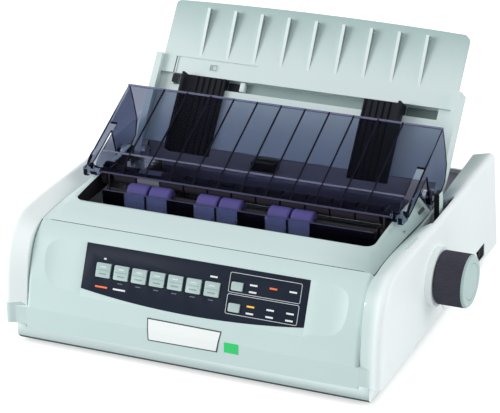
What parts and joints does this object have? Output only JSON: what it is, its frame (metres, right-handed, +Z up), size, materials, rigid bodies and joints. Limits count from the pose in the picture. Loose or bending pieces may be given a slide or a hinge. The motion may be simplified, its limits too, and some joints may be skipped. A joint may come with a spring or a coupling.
{
  "type": "dot matrix printer",
  "caption": "Desktop impact printer with a hinged top deck, smoked paper shield, ribbed sheet separator with sliding guides, turning platen knob and control panel.",
  "frame": {"origin": "centre of the bounding box's footprint, on the surface under the feet", "axes": "+X towards the platen knob's side, +Y from the front to the rear, +Z up"},
  "size_m": [0.401, 0.3272, 0.23],
  "materials": {
    "case_plastic": "fine moulded grain, satin",
    "panel_black": "printed black sheet, satin",
    "key_plastic": "soft satin",
    "lamp_lens": "clear lens",
    "circuit_board": "green board with parts",
    "black_rubber": "ground rubber",
    "roller_rubber": "smooth rubber",
    "bright_steel": "bright plated",
    "frame_steel": "zinc plated sheet",
    "gear_plastic": "natural moulded",
    "transformer_iron": "varnished stack",
    "black_plastic": "moulded black",
    "dark_plastic": "moulded dark grey",
    "motor_metal": "cast and plated",
    "knob_plastic": "fluted barrel, pale end cap",
    "smoked_plastic": "smoked clear, glossy"
  },
  "bodies": {
    "base": {"lower_case": "case_plastic", "upper_case": "case_plastic", "front_fascia": "case_plastic", "control_panel": "panel_black", "panel_lamps": "lamp_lens", "panel_board": "circuit_board", "rubber_feet": "black_rubber", "case_screws": "bright_steel", "left_side_frame": "frame_steel", "right_side_frame": "frame_steel", "shaft_bushes": "gear_plastic", "hinge_brackets": "bright_steel", "main_board": "circuit_board", "power_transformer": "transformer_iron", "rear_connectors": "black_plastic", "rear_deck": "dark_plastic", "carriage_guide_shaft": "bright_steel", "carriage_belt": "black_rubber", "carriage_motor": "motor_metal", "line_feed_motor": "motor_metal", "paper_chute": "black_plastic", "tractor_support_shaft": "bright_steel", "switch_housing": "black_plastic"},
    "top_deck": {"deck_cover": "case_plastic"},
    "shield": {"smoked_shield": "smoked_plastic"},
    "sheet_separator": {"separator": "case_plastic"},
    "left_guide": {"left_paper_guide": "dark_plastic"},
    "right_guide": {"right_paper_guide": "dark_plastic"},
    "platen": {"platen_roller": "black_rubber", "platen_shaft": "bright_steel", "platen_gear": "gear_plastic", "platen_knob": "knob_plastic"},
    "feed_pinion": {"line_feed_pinion": "gear_plastic"},
    "upper_idler": {"pull_up_idler": "gear_plastic"},
    "pull_up": {"pull_up_roller": "roller_rubber"},
    "lower_idler": {"tractor_idler": "gear_plastic"},
    "tractor_drive": {"tractor_shaft": "bright_steel"},
    "left_tractor_unit": {"left_tractor": "black_plastic"},
    "right_tractor_unit": {"right_tractor": "black_plastic"},
    "left_gate": {"left_tractor_gate": "black_plastic"},
    "right_gate": {"right_tractor_gate": "black_plastic"},
    "bail": {"bail_rod": "bright_steel", "tear_bar": "frame_steel"},
    "pinch": {"pinch_rollers": "roller_rubber"},
    "lever": {"feed_lever": "black_plastic"},
    "rocker": {"power_switch": "black_plastic"},
    "carriage": {"print_carriage": "black_plastic", "print_head": "motor_metal", "ribbon_cartridge": "black_plastic"},
    "drive_wheel": {"drive_pulley": "gear_plastic"},
    "idle_wheel": {"idle_pulley": "gear_plastic"},
    "select_key_body": {"select_key": "key_plastic"},
    "form_feed_key_body": {"form_feed_key": "key_plastic"},
    "line_feed_key_body": {"line_feed_key": "key_plastic"},
    "top_of_form_key_body": {"top_of_form_key": "key_plastic"},
    "tear_key_body": {"tear_key": "key_plastic"},
    "park_key_body": {"park_key": "key_plastic"},
    "quiet_key_body": {"quiet_key": "key_plastic"},
    "quality_key_body": {"quality_key": "key_plastic"},
    "pitch_key_body": {"pitch_key": "key_plastic"}
  },
  "joints": [
    {"name": "deck_hinge", "type": "hinge", "parent": "base", "child": "top_deck", "pos_m": [-0.0175, 0.0318, 0.115], "axis": [-1, 0, 0], "range_deg": [0, 28]},
    {"name": "shield_hinge", "type": "hinge", "parent": "top_deck", "child": "shield", "pos_m": [-0.0175, 0.0318, 0.115], "axis": [-1, 0, 0], "range_deg": [0, 28]},
    {"name": "separator_hinge", "type": "hinge", "parent": "base", "child": "sheet_separator", "pos_m": [-0.0175, 0.0638, 0.103], "axis": [-1, 0, 0], "range_deg": [0, 46]},
    {"name": "left_guide_slide", "type": "slide", "parent": "sheet_separator", "child": "left_guide", "axis": [1, 0, 0], "range_m": [-0.005, 0.03]},
    {"name": "right_guide_slide", "type": "slide", "parent": "sheet_separator", "child": "right_guide", "axis": [1, 0, 0], "range_m": [-0.07, 0.03]},
    {"name": "platen_spin", "type": "hinge", "parent": "base", "child": "platen", "pos_m": [-0.0175, -0.028, 0.0681], "axis": [1, 0, 0], "continuous": true},
    {"name": "pinion_spin", "type": "hinge", "parent": "base", "child": "feed_pinion", "pos_m": [-0.0175, -0.04699, 0.04097], "axis": [1, 0, 0], "continuous": true},
    {"name": "upper_idler_spin", "type": "hinge", "parent": "base", "child": "upper_idler", "pos_m": [-0.0175, -0.01788, 0.09964], "axis": [1, 0, 0], "continuous": true},
    {"name": "pull_up_spin", "type": "hinge", "parent": "base", "child": "pull_up", "pos_m": [-0.0175, -0.0247, 0.1175], "axis": [1, 0, 0], "continuous": true},
    {"name": "lower_idler_spin", "type": "hinge", "parent": "base", "child": "lower_idler", "pos_m": [-0.0175, 0.00908, 0.05278], "axis": [1, 0, 0], "continuous": true},
    {"name": "tractor_spin", "type": "hinge", "parent": "base", "child": "tractor_drive", "pos_m": [-0.0175, 0.0388, 0.062], "axis": [1, 0, 0], "continuous": true},
    {"name": "left_tractor_slide", "type": "slide", "parent": "base", "child": "left_tractor_unit", "axis": [1, 0, 0], "range_m": [0, 0.06]},
    {"name": "right_tractor_slide", "type": "slide", "parent": "base", "child": "right_tractor_unit", "axis": [1, 0, 0], "range_m": [-0.06, 0]},
    {"name": "left_gate_hinge", "type": "hinge", "parent": "left_tractor_unit", "child": "left_gate", "pos_m": [-0.1402, 0.0388, 0.0772], "axis": [0, -1, 0], "range_deg": [0, 80]},
    {"name": "right_gate_hinge", "type": "hinge", "parent": "right_tractor_unit", "child": "right_gate", "pos_m": [0.1052, 0.0388, 0.0772], "axis": [0, 1, 0], "range_deg": [0, 80]},
    {"name": "bail_swing", "type": "hinge", "parent": "base", "child": "bail", "pos_m": [-0.0175, -0.0482, 0.086], "axis": [-1, 0, 0], "range_deg": [-16, 0]},
    {"name": "pinch_spin", "type": "hinge", "parent": "bail", "child": "pinch", "pos_m": [-0.0175, -0.04, 0.1084], "axis": [1, 0, 0], "continuous": true},
    {"name": "feed_lever_swing", "type": "hinge", "parent": "base", "child": "lever", "pos_m": [0.1545, 0.0123, 0.062], "axis": [1, 0, 0], "range_deg": [-17, 11]},
    {"name": "power_rocker", "type": "hinge", "parent": "base", "child": "rocker", "pos_m": [0.16175, 0.1058, 0.0309], "axis": [0, 0, 1], "range_deg": [0, 12]},
    {"name": "carriage_slide", "type": "slide", "parent": "base", "child": "carriage", "axis": [1, 0, 0], "range_m": [0, 0.2]},
    {"name": "drive_wheel_spin", "type": "hinge", "parent": "base", "child": "drive_wheel", "pos_m": [-0.134, -0.0722, 0.031], "axis": [0, 0, 1], "range_deg": [0, 1340]},
    {"name": "idle_wheel_spin", "type": "hinge", "parent": "base", "child": "idle_wheel", "pos_m": [0.099, -0.0722, 0.031], "axis": [0, 0, 1], "range_deg": [0, 1340]},
    {"name": "select_key_press", "type": "slide", "parent": "base", "child": "select_key_body", "axis": [0, 0.9018, -0.4321], "range_m": [0, 0.001], "stiffness_N_per_m": 300, "springref_m": -0.0005},
    {"name": "form_feed_key_press", "type": "slide", "parent": "base", "child": "form_feed_key_body", "axis": [0, 0.9018, -0.4321], "range_m": [0, 0.001], "stiffness_N_per_m": 300, "springref_m": -0.0005},
    {"name": "line_feed_key_press", "type": "slide", "parent": "base", "child": "line_feed_key_body", "axis": [0, 0.9018, -0.4321], "range_m": [0, 0.001], "stiffness_N_per_m": 300, "springref_m": -0.0005},
    {"name": "top_of_form_key_press", "type": "slide", "parent": "base", "child": "top_of_form_key_body", "axis": [0, 0.9018, -0.4321], "range_m": [0, 0.001], "stiffness_N_per_m": 300, "springref_m": -0.0005},
    {"name": "tear_key_press", "type": "slide", "parent": "base", "child": "tear_key_body", "axis": [0, 0.9018, -0.4321], "range_m": [0, 0.001], "stiffness_N_per_m": 300, "springref_m": -0.0005},
    {"name": "park_key_press", "type": "slide", "parent": "base", "child": "park_key_body", "axis": [0, 0.9018, -0.4321], "range_m": [0, 0.001], "stiffness_N_per_m": 300, "springref_m": -0.0005},
    {"name": "quiet_key_press", "type": "slide", "parent": "base", "child": "quiet_key_body", "axis": [0, 0.9018, -0.4321], "range_m": [0, 0.001], "stiffness_N_per_m": 300, "springref_m": -0.0005},
    {"name": "quality_key_press", "type": "slide", "parent": "base", "child": "quality_key_body", "axis": [0, 0.9018, -0.4321], "range_m": [0, 0.001], "stiffness_N_per_m": 300, "springref_m": -0.0005},
    {"name": "pitch_key_press", "type": "slide", "parent": "base", "child": "pitch_key_body", "axis": [0, 0.9018, -0.4321], "range_m": [0, 0.001], "stiffness_N_per_m": 300, "springref_m": -0.0005}
  ],
  "couplings": [
    {"joint": "pinion_spin", "follows": "platen_spin", "ratio": -2.6667},
    {"joint": "upper_idler_spin", "follows": "platen_spin", "ratio": -2.6667},
    {"joint": "pull_up_spin", "follows": "platen_spin", "ratio": 2.4},
    {"joint": "lower_idler_spin", "follows": "platen_spin", "ratio": -1.5},
    {"joint": "tractor_spin", "follows": "platen_spin", "ratio": 1.6},
    {"joint": "drive_wheel_spin", "follows": "carriage_slide", "rad_per_m": 115.61},
    {"joint": "idle_wheel_spin", "follows": "carriage_slide", "rad_per_m": 115.61}
  ]
}
